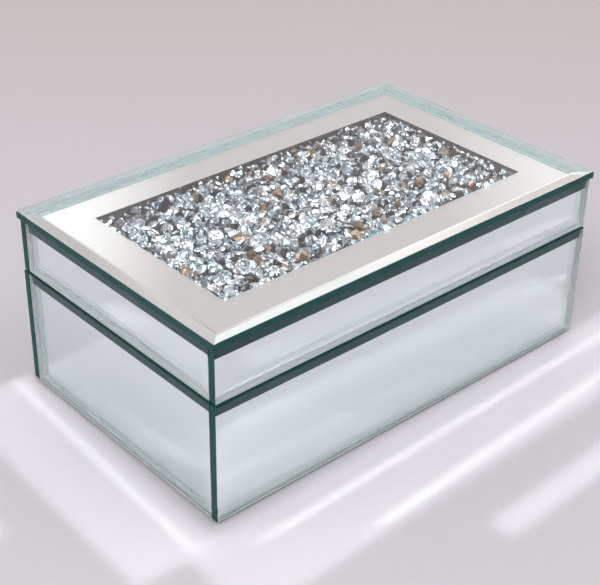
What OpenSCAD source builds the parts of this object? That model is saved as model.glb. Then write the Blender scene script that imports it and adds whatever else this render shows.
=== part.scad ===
// Mirrored trinket box with a hinged lid and a window of loose crystals.
// The origin is at the centre of the underside. X runs along the length, Y towards
// the hinges at the back, and Z up.

/* [Overall] */
// Length of the top pane, left to right
top_l = 250; // [200:1:310]
// Depth of the top pane, front to back
top_d = 153; // [120:1:200]
// Height from the floor to the top of the body's side panes
body_h = 65; // [45:1:110]
// Height of the strips of glass round the lid
lid_strip_h = 28.2; // [24:0.2:50]

/* [Glass] */
// Thickness of every pane
glass_t = 4; // [3.2:0.2:6]
// How much thinner a side pane is at its rim than at its face
side_bevel_drop = 0.5; // [0.3:0.1:2]
// How much thinner the top pane is at its rim than at its face
top_bevel_drop = 1.4; // [0.3:0.1:2]
// Width of the bevel round the top pane
top_bevel_w = 8.2; // [5:0.2:12]
// Width of the bevels round the side panes and strips
side_bevel_w = 5.6; // [3:0.2:8]
// How far the top pane stands out past the body's panes
top_overhang = 0.8; // [0.4:0.1:3]
// How far the lid's strips are set back from the body's panes
lid_setback = 0.4; // [0:0.1:1]
// Glue line between neighbouring panes
pane_gap = 0.15; // [0.1:0.05:0.4]

/* [Crystal window] */
// Width of the silvered border round the clear window
border_w = 27.2; // [20:0.2:36]
// Depth of the crystal tray under the glass
tray_depth = 10; // [8:0.5:14]
// Width of the spacer frame's strips
frame_w = 8; // [4:0.5:10]
// How far the tray's walls stand back from the window's edge
frame_setback = 1; // [0:0.2:3]
// Thickness of the tray's floor
tray_floor_t = 3; // [2:0.5:5]
// Spacing of the crystals
crystal_pitch = 8; // [7.8:0.1:12]
// Radius of the largest crystal
crystal_r = 3.6; // [2.5:0.1:3.6]

/* [Carcass] */
// Thickness of the side boards and the lid's rails
board_t = 5; // [4.5:0.5:8]
// Thickness of the base board
base_t = 5; // [3:0.5:8]
// Thickness of the felt under the base
felt_t = 1.2; // [0.8:0.1:2]
// How far the felt is set in from the outside of the panes
felt_inset = 2.5; // [1:0.5:8]
// Thickness of the velvet lining panels
lining_t = 1.5; // [1:0.1:3]
// Thickness of the lining pad inside the lid
lid_lining_t = 2; // [1:0.1:4]
// Space round pieces that are slipped in
slip = 0.4; // [0.2:0.1:1]

/* [Hinges] */
// Gap between the body and the closed lid
seam_gap = 0.8; // [0.4:0.1:1.4]
// Length of each hinge
hinge_l = 25; // [20:1:35]
// Distance from the end of the top pane to the middle of a hinge
hinge_from_end = 48; // [30:1:70]
// Thickness of the leaves
leaf_t = 1; // [0.8:0.1:1.2]
// Outside radius of the knuckles
knuckle_r = 1.8; // [1.6:0.1:2.4]
// Radius of the pins
pin_r = 0.9; // [0.7:0.1:1]
// Radial clearance of the pin in the lid's knuckle
pin_clear = 0.05; // [0.03:0.01:0.1]
// Angle at which the tails behind the knuckles stop the lid
stop_angle = 96; // [85:1:110]
// How far the stop tails reach from the pin's axis
tail_reach = 4.5; // [4:0.1:6]
// Radius of the screws' shanks
screw_r = 0.8; // [0.6:0.1:0.9]
// Length of the screws
screw_l = 7; // [5:0.5:9]

/* [Bumpers] */
// Radius of the bumper dots
bumper_r = 2; // [1.5:0.1:2.2]
// Distance from the carcass's end to the middle of a bumper dot
bumper_from_end = 14; // [8:1:30]

/* [Hidden] */

$fn = 48;
// Overshoot of a cut past the surface that it opens
over = 1;

// Outside of the body's panes, and of the boards behind them
body_l = top_l - 2 * top_overhang;
body_d = top_d - 2 * top_overhang;
board_l = body_l - 2 * glass_t;
board_d = body_d - 2 * glass_t;
inner_l = board_l - 2 * board_t;
inner_d = board_d - 2 * board_t;

// Outside of the lid's strips, and of the rails behind them
lid_l = body_l - 2 * lid_setback;
lid_d = body_d - 2 * lid_setback;
rail_l = lid_l - 2 * glass_t;
rail_d = lid_d - 2 * glass_t;
lid_inner_l = rail_l - 2 * board_t;
lid_inner_d = rail_d - 2 * board_t;

// Heights of the layers
floor_z = felt_t + base_t;
lining_z = floor_z + lining_t;
lining_rim_drop = 0.6;
lid_z = body_h + seam_gap;
top_z = lid_z + lid_strip_h;
tray_z = top_z - tray_depth;
lid_lining_z = tray_z - tray_floor_t - lid_lining_t;

// Window and tray
window_l = top_l - 2 * border_w;
window_d = top_d - 2 * border_w;
tray_l = window_l + 2 * frame_setback;
tray_d = window_d + 2 * frame_setback;

// Crystals: a jittered grid of small double pyramids lying on the tray's floor
crystal_jitter = 0.3;
crystal_sides = 6;
crystal_flatness = 0.8;
crystal_rest = 0.1;
smallest_share = 0.68;
crystal_cols = floor((tray_l - 2 * crystal_jitter) / crystal_pitch);
crystal_rows = floor((tray_d - 2 * crystal_jitter) / crystal_pitch);
crystal_count = crystal_cols * crystal_rows;
jitter_x = rands(-crystal_jitter, crystal_jitter, crystal_count, 11);
jitter_y = rands(-crystal_jitter, crystal_jitter, crystal_count, 12);
crystal_size = rands(smallest_share, 1, crystal_count, 13);
crystal_tilt = rands(0, 180, crystal_count, 14);
crystal_turn = rands(0, 360, crystal_count, 15);

// Hinges: the pin's axis lies in the middle of the seam, behind the back pane
knuckle_gap = 0.3;
leaf_gap = 0.2;
notch_slack = 0.3;
hinge_y = body_d / 2 + knuckle_gap + knuckle_r;
hinge_z = body_h + seam_gap / 2;
hinge_x = top_l / 2 - hinge_from_end;
mid_knuckle_share = 0.36;
mid_knuckle_l = hinge_l * mid_knuckle_share;
end_knuckle_l = (hinge_l - mid_knuckle_l) / 2;
end_knuckle_x = (mid_knuckle_l + end_knuckle_l) / 2;
knuckle_play = 0.2;
screw_from_end = 4.5;
tail_root = pin_r + 0.25;
leaf_end_inset = 0.5;
pocket_d = leaf_t + leaf_gap / 2 - seam_gap / 2;
screw_x = hinge_l / 2 - screw_from_end;
screw_head_r = 1.5;
screw_head_h = 0.75;
screw_slot_l = 1.8;
screw_slot_w = 0.4;
screw_slot_d = 0.35;
screw_clear = 0.05;
pin_press_clear = 0.02;
pin_end_chamfer = 0.2;
bumper_clear = 0.05;

// A pane lying on its back, bevelled on all four edges of its upper face.
// Its width is centred on X, its height runs along Y, its thickness up Z.
module pane(w, h, bevel_w, bevel_drop) {
    rim_t = glass_t - bevel_drop;
    intersection() {
        translate([0, h, 0])
            rotate([90, 0, 0])
                linear_extrude(h)
                    polygon([
                        [-w / 2, 0], [w / 2, 0], [w / 2, rim_t],
                        [w / 2 - bevel_w, glass_t], [-w / 2 + bevel_w, glass_t], [-w / 2, rim_t]
                    ]);
        translate([-w / 2, 0, 0])
            rotate([90, 0, 90])
                linear_extrude(w)
                    polygon([
                        [0, 0], [h, 0], [h, rim_t],
                        [h - bevel_w, glass_t], [bevel_w, glass_t], [0, rim_t]
                    ]);
    }
}

// Stands its children, built like a pane, upright with their backs at a distance from
// the centre. An angle of 0 faces the front, 90 the right, 180 the back, -90 the left.
module on_side(angle, back_at, z) {
    rotate([0, 0, angle])
        translate([0, -back_at, z])
            rotate([90, 0, 0])
                children();
}

// An upright board on one side, centred, with its outer face at a distance from the centre
module side_board(angle, outer_at, length, z_low, z_high, t) {
    rotate([0, 0, angle])
        translate([-length / 2, -outer_at, z_low])
            cube([length, t, z_high - z_low]);
}

// Copies its children to both hinges
module at_hinges() {
    for (side = [-1, 1])
        translate([side * hinge_x, 0, 0])
            children();
}

// Pocket for a hinge leaf in an edge of the back boards, from one height to another
module leaf_pocket(z_low, z_high) {
    at_hinges()
        translate([-hinge_l / 2 - slip / 2, rail_d / 2 - board_t - over, z_low])
            cube([hinge_l + slip, board_t + glass_t + 2 * over, z_high - z_low]);
}

// Pilot holes for two screws in the edge of a back board, downwards from z
module pilot_holes(y, z) {
    at_hinges()
        for (side = [-1, 1])
            translate([side * screw_x, y, z - screw_l])
                cylinder(r = screw_r + screw_clear, h = screw_l + over);
}

// ---- Body ----

module base_felt() {
    color("dimgray")
        translate([-body_l / 2 + felt_inset, -body_d / 2 + felt_inset, 0])
            cube([body_l - 2 * felt_inset, body_d - 2 * felt_inset, felt_t]);
}

module base_board() {
    color("#2b2622")
        translate([-board_l / 2, -board_d / 2, felt_t])
            cube([board_l, board_d, base_t]);
}

module body_front_board() {
    color("#2b2622")
        side_board(0, board_d / 2, board_l, floor_z, body_h, board_t);
}

module body_back_board() {
    color("#2b2622")
        difference() {
            side_board(180, board_d / 2, board_l, floor_z, body_h, board_t);
            leaf_pocket(body_h - pocket_d, body_h + over);
            pilot_holes(board_d / 2 - board_t / 2, body_h - pocket_d);
        }
}

module body_left_board() {
    color("#2b2622")
        side_board(-90, board_l / 2, inner_d, floor_z, body_h, board_t);
}

module body_right_board() {
    color("#2b2622")
        side_board(90, board_l / 2, inner_d, floor_z, body_h, board_t);
}

module body_front_glass() {
    color("lightsteelblue")
        on_side(0, board_d / 2, felt_t)
            pane(body_l, body_h - felt_t, side_bevel_w, side_bevel_drop);
}

module body_back_glass() {
    color("lightsteelblue")
        difference() {
            on_side(180, board_d / 2, felt_t)
                pane(body_l, body_h - felt_t, side_bevel_w, side_bevel_drop);
            leaf_pocket(body_h - pocket_d - notch_slack, body_h + over);
        }
}

module body_left_glass() {
    color("lightsteelblue")
        on_side(-90, board_l / 2, felt_t)
            pane(board_d - 2 * pane_gap, body_h - felt_t, side_bevel_w, side_bevel_drop);
}

module body_right_glass() {
    color("lightsteelblue")
        on_side(90, board_l / 2, felt_t)
            pane(board_d - 2 * pane_gap, body_h - felt_t, side_bevel_w, side_bevel_drop);
}

module floor_lining() {
    color("#4a4650")
        translate([-inner_l / 2 + slip / 2, -inner_d / 2 + slip / 2, floor_z])
            cube([inner_l - slip, inner_d - slip, lining_t]);
}

module front_lining() {
    color("#4a4650")
        side_board(0, inner_d / 2, inner_l - slip, lining_z, body_h - lining_rim_drop, lining_t);
}

module back_lining() {
    color("#4a4650")
        side_board(180, inner_d / 2, inner_l - slip, lining_z, body_h - lining_rim_drop, lining_t);
}

module left_lining() {
    color("#4a4650")
        side_board(-90, inner_l / 2, inner_d - 2 * lining_t - slip, lining_z,
            body_h - lining_rim_drop, lining_t);
}

module right_lining() {
    color("#4a4650")
        side_board(90, inner_l / 2, inner_d - 2 * lining_t - slip, lining_z,
            body_h - lining_rim_drop, lining_t);
}

module bumper_dots() {
    color("white", 0.6)
        for (side = [-1, 1])
            translate([side * (rail_l / 2 - bumper_from_end), -rail_d / 2 + board_t / 2, body_h])
                cylinder(r = bumper_r, h = seam_gap - bumper_clear);
}

// ---- Lid ----

module lid_front_rail() {
    color("#2b2622")
        side_board(0, rail_d / 2, rail_l, lid_z, top_z, board_t);
}

module lid_back_rail() {
    color("#2b2622")
        difference() {
            side_board(180, rail_d / 2, rail_l, lid_z, top_z, board_t);
            leaf_pocket(lid_z - over, lid_z + pocket_d);
            pilot_holes(rail_d / 2 - board_t / 2, lid_z + pocket_d + screw_l);
        }
}

module lid_left_rail() {
    color("#2b2622")
        side_board(-90, rail_l / 2, lid_inner_d, lid_z, top_z, board_t);
}

module lid_right_rail() {
    color("#2b2622")
        side_board(90, rail_l / 2, lid_inner_d, lid_z, top_z, board_t);
}

module lid_front_glass() {
    color("lightsteelblue")
        on_side(0, rail_d / 2, lid_z)
            pane(lid_l, lid_strip_h, side_bevel_w, side_bevel_drop);
}

module lid_back_glass() {
    color("lightsteelblue")
        difference() {
            on_side(180, rail_d / 2, lid_z)
                pane(lid_l, lid_strip_h, side_bevel_w, side_bevel_drop);
            leaf_pocket(lid_z - over, lid_z + pocket_d + notch_slack);
        }
}

module lid_left_glass() {
    color("lightsteelblue")
        on_side(-90, rail_l / 2, lid_z)
            pane(rail_d - 2 * pane_gap, lid_strip_h, side_bevel_w, side_bevel_drop);
}

module lid_right_glass() {
    color("lightsteelblue")
        on_side(90, rail_l / 2, lid_z)
            pane(rail_d - 2 * pane_gap, lid_strip_h, side_bevel_w, side_bevel_drop);
}

module top_glass() {
    color("gainsboro", 0.6)
        translate([0, -top_d / 2, top_z])
            pane(top_l, top_d, top_bevel_w, top_bevel_drop);
}

module tray_frame() {
    color("#1d1b1a")
        translate([0, 0, tray_z])
            linear_extrude(tray_depth)
                difference() {
                    square([tray_l + 2 * frame_w, tray_d + 2 * frame_w], center = true);
                    square([tray_l, tray_d], center = true);
                }
}

module tray_floor() {
    color("#1d1b1a")
        translate([0, 0, tray_z - tray_floor_t])
            linear_extrude(tray_floor_t)
                square([lid_inner_l - slip, lid_inner_d - slip], center = true);
}

// A point tilted about X and then turned about Z
function turned(p, tilt, turn) =
    let (
        y = p[1] * cos(tilt) - p[2] * sin(tilt),
        z = p[1] * sin(tilt) + p[2] * cos(tilt)
    )
    [p[0] * cos(turn) - y * sin(turn), p[0] * sin(turn) + y * cos(turn), z];

// Corners of a double pyramid about the origin: its girdle, then its two tips
function crystal_corners(r) = concat(
    [for (s = [0:crystal_sides - 1])
        [r * cos(s * 360 / crystal_sides), r * sin(s * 360 / crystal_sides), 0]],
    [[0, 0, r * crystal_flatness], [0, 0, -r * crystal_flatness]]
);

// Faces of a double pyramid whose first corner has this number
function crystal_faces(first) = [
    for (s = [0:crystal_sides - 1], tip = [0, 1])
        let (a = first + s, b = first + (s + 1) % crystal_sides)
        tip == 0 ? [first + crystal_sides, b, a] : [first + crystal_sides + 1, a, b]
];

// Middle of crystal number k, lying on the tray's floor
function crystal_middle(k) = [
    (k % crystal_cols - (crystal_cols - 1) / 2) * crystal_pitch + jitter_x[k],
    (floor(k / crystal_cols) - (crystal_rows - 1) / 2) * crystal_pitch + jitter_y[k],
    tray_z + crystal_rest + crystal_r * crystal_size[k]
];

module crystals() {
    color("aliceblue")
        polyhedron(
            points = [
                for (k = [0:crystal_count - 1], p = crystal_corners(crystal_r * crystal_size[k]))
                    crystal_middle(k) + turned(p, crystal_tilt[k], crystal_turn[k])
            ],
            faces = [
                for (k = [0:crystal_count - 1], f = crystal_faces(k * (crystal_sides + 2)))
                    f
            ]
        );
}

module lid_lining() {
    color("#4a4650")
        translate([0, 0, lid_lining_z])
            linear_extrude(lid_lining_t)
                square([lid_inner_l - slip, lid_inner_d - slip], center = true);
}

// ---- Hinges ----

// A cylinder along X about the pin's axis, centred on x
module along_pin(r, x, length) {
    translate([x - length / 2, 0, 0])
        rotate([0, 90, 0])
            cylinder(r = r, h = length);
}

// Plate of a leaf with its face on the pin's axis plane, reaching inwards to y_end
module leaf_plate(y_end) {
    translate([-hinge_l / 2, y_end - hinge_y, -leaf_gap / 2 - leaf_t])
        cube([hinge_l, hinge_y - y_end, leaf_t]);
}

// Tail behind the knuckles, its stopping face in a plane through the pin's axis
module stop_tail(length) {
    rotate([-stop_angle / 2, 0, 0])
        translate([-length / 2, tail_root, -leaf_t])
            cube([length, tail_reach - tail_root, leaf_t]);
}

// Bore for the pin and countersunk holes for the two screws of a leaf
module leaf_holes(screws_y, bore_clear) {
    along_pin(pin_r + bore_clear, 0, hinge_l + 2 * over);
    for (side = [-1, 1])
        translate([side * screw_x, screws_y - hinge_y, -leaf_gap / 2])
            screw_cut();
}

// Leaf of the body, lying below the pin's axis, with the two outer knuckles
module outer_leaf(y_end, screws_y) {
    difference() {
        union() {
            leaf_plate(y_end);
            stop_tail(hinge_l);
            for (side = [-1, 1])
                along_pin(knuckle_r, side * end_knuckle_x, end_knuckle_l);
        }
        along_pin(knuckle_r + knuckle_play, 0, mid_knuckle_l);
        leaf_holes(screws_y, pin_press_clear);
    }
}

// Leaf of the lid, drawn below the pin's axis too, with the middle knuckle and a tail
// no wider than it
module middle_leaf(y_end, screws_y) {
    difference() {
        union() {
            leaf_plate(y_end);
            stop_tail(mid_knuckle_l - 2 * knuckle_play);
            along_pin(knuckle_r, 0, mid_knuckle_l - 2 * knuckle_play);
        }
        for (side = [-1, 1])
            along_pin(knuckle_r + knuckle_play, side * (end_knuckle_x + (over - knuckle_play) / 2),
                end_knuckle_l + over + knuckle_play);
        leaf_holes(screws_y, pin_clear);
    }
}

// Countersunk hole for a screw whose head is flush with z = 0
module screw_cut() {
    shank_r = screw_r + screw_clear;
    head_r = screw_head_r + screw_clear;
    rotate_extrude()
        polygon([
            [0, -leaf_t - over], [shank_r, -leaf_t - over], [shank_r, -screw_head_h],
            [head_r, 0], [head_r, over], [0, over]
        ]);
}

// Countersunk screw pointing down, its head flush with z = 0, with a cross recess
module screw() {
    difference() {
        rotate_extrude()
            polygon([
                [0, -screw_l], [screw_r, -screw_l], [screw_r, -screw_head_h],
                [screw_head_r, 0], [0, 0]
            ]);
        for (turn = [0, 90])
            rotate([0, 0, turn])
                translate([-screw_slot_l / 2, -screw_slot_w / 2, -screw_slot_d])
                    cube([screw_slot_l, screw_slot_w, screw_slot_d + over]);
    }
}

module lower_leaf(x) {
    color("silver")
        translate([x, hinge_y, hinge_z])
            outer_leaf(board_d / 2 - board_t + leaf_end_inset, board_d / 2 - board_t / 2);
}

module upper_leaf(x) {
    color("silver")
        translate([x, hinge_y, hinge_z])
            mirror([0, 0, 1])
                middle_leaf(rail_d / 2 - board_t + leaf_end_inset, rail_d / 2 - board_t / 2);
}

module hinge_pin(x) {
    color("silver")
        translate([x - hinge_l / 2, hinge_y, hinge_z])
            rotate([0, 90, 0])
                rotate_extrude()
                    polygon([
                        [0, 0], [pin_r - pin_end_chamfer, 0], [pin_r, pin_end_chamfer],
                        [pin_r, hinge_l - pin_end_chamfer],
                        [pin_r - pin_end_chamfer, hinge_l], [0, hinge_l]
                    ]);
}

module left_hinge_lower_leaf() { lower_leaf(-hinge_x); }

module left_hinge_upper_leaf() { upper_leaf(-hinge_x); }

module left_hinge_pin() { hinge_pin(-hinge_x); }

module right_hinge_lower_leaf() { lower_leaf(hinge_x); }

module right_hinge_upper_leaf() { upper_leaf(hinge_x); }

module right_hinge_pin() { hinge_pin(hinge_x); }

module lower_leaf_screws() {
    color("silver")
        at_hinges()
            for (side = [-1, 1])
                translate([side * screw_x, board_d / 2 - board_t / 2, hinge_z - leaf_gap / 2])
                    screw();
}

module upper_leaf_screws() {
    color("silver")
        at_hinges()
            for (side = [-1, 1])
                translate([side * screw_x, rail_d / 2 - board_t / 2, hinge_z + leaf_gap / 2])
                    mirror([0, 0, 1])
                        screw();
}

base_felt();
base_board();
body_front_board();
body_back_board();
body_left_board();
body_right_board();
body_front_glass();
body_back_glass();
body_left_glass();
body_right_glass();
floor_lining();
front_lining();
back_lining();
left_lining();
right_lining();
bumper_dots();
lid_front_rail();
lid_back_rail();
lid_left_rail();
lid_right_rail();
lid_front_glass();
lid_back_glass();
lid_left_glass();
lid_right_glass();
top_glass();
tray_frame();
tray_floor();
crystals();
lid_lining();
left_hinge_lower_leaf();
left_hinge_upper_leaf();
left_hinge_pin();
right_hinge_lower_leaf();
right_hinge_upper_leaf();
right_hinge_pin();
lower_leaf_screws();
upper_leaf_screws();
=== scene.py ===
"""Looks of a mirrored trinket box: bevelled panes, a window of crystals and velvet linings."""

import logging
import math
import random
from dataclasses import dataclass, field
from enum import Enum
from functools import cache

import bmesh
import bpy
from mathutils import Euler, Matrix, Vector, noise


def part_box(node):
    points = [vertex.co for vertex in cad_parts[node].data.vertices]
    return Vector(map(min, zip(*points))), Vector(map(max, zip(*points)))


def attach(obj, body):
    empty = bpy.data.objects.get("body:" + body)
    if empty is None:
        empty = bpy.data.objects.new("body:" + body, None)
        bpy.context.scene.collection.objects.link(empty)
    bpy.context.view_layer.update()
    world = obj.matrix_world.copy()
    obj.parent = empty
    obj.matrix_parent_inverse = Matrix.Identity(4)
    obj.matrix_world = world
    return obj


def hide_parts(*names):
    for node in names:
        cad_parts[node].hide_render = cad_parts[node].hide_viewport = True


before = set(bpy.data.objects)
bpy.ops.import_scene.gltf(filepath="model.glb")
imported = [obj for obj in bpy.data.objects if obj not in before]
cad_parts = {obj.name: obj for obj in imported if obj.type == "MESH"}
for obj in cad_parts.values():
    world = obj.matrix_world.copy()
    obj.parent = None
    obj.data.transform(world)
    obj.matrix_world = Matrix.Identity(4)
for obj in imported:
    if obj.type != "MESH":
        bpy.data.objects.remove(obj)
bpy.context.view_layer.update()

MM = 0.001

log = logging.getLogger("trinket_box")

Colour = tuple[float, float, float]


# ----- Mesh helpers -----


def node_box(node: str) -> tuple[Vector, Vector]:
    """Lowest and highest corners of a CAD node at rest."""
    low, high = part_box(node)
    return Vector(low), Vector(high)


def box_mesh(low: Vector, high: Vector) -> bmesh.types.BMesh:
    """A plain box between two corners."""
    bm = bmesh.new()
    bmesh.ops.create_cube(bm, size=1.0)
    bmesh.ops.scale(bm, vec=high - low, verts=bm.verts)
    bmesh.ops.translate(bm, vec=(low + high) / 2, verts=bm.verts)
    return bm


def round_edges(bm: bmesh.types.BMesh, radius: float, segments: int = 2,
                least_angle: float = math.radians(40)) -> None:
    """Rounds every edge of a shape that is sharper than an angle.

    Args:
        bm: The shape, changed in place.
        radius: Size of the rounding, in metres.
        segments: Number of faces across each rounding.
        least_angle: Edges flatter than this stay crisp.
    """
    sharp = [e for e in bm.edges if len(e.link_faces) == 2 and e.calc_face_angle(0.0) > least_angle]
    bmesh.ops.bevel(bm, geom=sharp, offset=radius, segments=segments, affect="EDGES",
                    profile=0.5, material=-1)


def finish_mesh(name: str, bm: bmesh.types.BMesh, materials: list[bpy.types.Material],
                smooth: bool = False) -> bpy.types.Object:
    """Turns a bmesh into an object at the origin.

    Args:
        name: Name of the piece.
        bm: The finished shape, in metres; it is freed.
        materials: Materials in the order of the faces' material numbers.
        smooth: Whether the faces are shaded smooth.

    Returns:
        The new object, linked to the scene.
    """
    mesh = bpy.data.meshes.new(name)
    for face in bm.faces:
        face.smooth = smooth
    bm.to_mesh(mesh)
    bm.free()
    for material in materials:
        mesh.materials.append(material)
    return add_object(name, mesh)


def add_object(name: str, data: bpy.types.ID) -> bpy.types.Object:
    """Makes an object and puts it in the scene."""
    obj = bpy.data.objects.new(name, data)
    bpy.context.scene.collection.objects.link(obj)
    return obj


def aimed(place: Vector, back: Vector, roll: float) -> Matrix:
    """Placement of a camera or light that looks against a direction, rolled by some degrees."""
    turn = back.to_track_quat("Z", "Y").to_matrix().to_4x4()
    return Matrix.Translation(place) @ turn @ Matrix.Rotation(math.radians(roll), 4, "Z")


def refinish(obj: bpy.types.Object, material: bpy.types.Material) -> None:
    """Gives an object one material in place of any that it has."""
    obj.data.materials.clear()
    obj.data.materials.append(material)


def cut_away(obj: bpy.types.Object, cutters: list[bpy.types.Object]) -> None:
    """Takes the cutters out of an object's mesh for good, and removes them."""
    for cutter in cutters:
        modifier = obj.modifiers.new("cut", "BOOLEAN")
        modifier.operation = "DIFFERENCE"
        modifier.solver = "EXACT"
        modifier.object = cutter
    shaped = obj.evaluated_get(bpy.context.evaluated_depsgraph_get())
    mesh = bpy.data.meshes.new_from_object(shaped)
    obj.modifiers.clear()
    old = obj.data
    obj.data = mesh
    mesh.name = old.name
    bpy.data.meshes.remove(old)
    for cutter in cutters:
        bpy.data.objects.remove(cutter)


def place_piece(obj: bpy.types.Object, body: str, slot: str, *nodes: str) -> bpy.types.Object:
    """Says which body a piece moves with, and hides the CAD nodes that it stands for.

    Args:
        obj: The finished piece.
        body: Name of the CAD body that it rides on.
        slot: Name of its material slot; not used.
        nodes: CAD nodes that it replaces.

    Returns:
        The same piece.
    """
    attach(obj, body)
    if nodes:
        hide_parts(*nodes)
    log.info("piece %s on %s", obj.name, body)
    return obj


# ----- Shader helpers -----


@dataclass
class Nodes:
    """One node tree, with short calls for its nodes and links."""

    tree: bpy.types.NodeTree

    def node(self, kind: str, **settings: object) -> bpy.types.Node:
        """Adds a node and sets its properties, or its sockets where a name starts with in_.

        Args:
            kind: Type of the node.
            settings: Properties, then socket values named in_SOCKET or in_NUMBER.

        Returns:
            The new node.
        """
        node = self.tree.nodes.new(kind)
        for name, value in settings.items():
            if name.startswith("in_"):
                key = name[3:].replace("_", " ")
                node.inputs[int(key) if key.isdigit() else key].default_value = value
            else:
                setattr(node, name, value)
        return node

    def link(self, source: bpy.types.NodeSocket, target: bpy.types.NodeSocket) -> None:
        """Joins two sockets."""
        self.tree.links.new(source, target)


class Shader(Nodes):
    """A material under construction."""

    def __init__(self, name: str) -> None:
        """Starts a material with a Principled BSDF.

        Args:
            name: Name of the material.
        """
        self.material = bpy.data.materials.new(name)
        self.material.use_nodes = True
        super().__init__(self.material.node_tree)
        self.bsdf = self.tree.nodes["Principled BSDF"]
        self.output = self.tree.nodes["Material Output"]

    def set(self, **values: float | Colour) -> None:
        """Sets plain numbers and colours on the Principled BSDF.

        Args:
            values: Socket names with underscores for spaces, and their values.
        """
        for name, value in values.items():
            socket = self.bsdf.inputs[name.replace("_", " ")]
            socket.default_value = (*value, 1.0) if isinstance(value, tuple) else value

    def group(self, group: bpy.types.NodeTree, **values: float | Colour) -> bpy.types.Node:
        """Places a shared node group with its own values.

        Args:
            group: The group.
            values: Its inputs, with underscores for spaces.

        Returns:
            The group node.
        """
        node = self.node("ShaderNodeGroup", node_tree=group)
        for name, value in values.items():
            socket = node.inputs[name.replace("_", " ")]
            socket.default_value = (*value, 1.0) if socket.type == "RGBA" else value
        return node

    def bump(self, height: bpy.types.NodeSocket, strength: float, distance: float) -> None:
        """Feeds a height into the BSDF's normal.

        Args:
            height: The socket that gives the height.
            strength: Strength of the bump.
            distance: Depth of the bump, in metres.
        """
        bump = self.node("ShaderNodeBump", in_Strength=strength, in_Distance=distance)
        self.link(height, bump.inputs["Height"])
        self.link(bump.outputs["Normal"], self.bsdf.inputs["Normal"])


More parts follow.
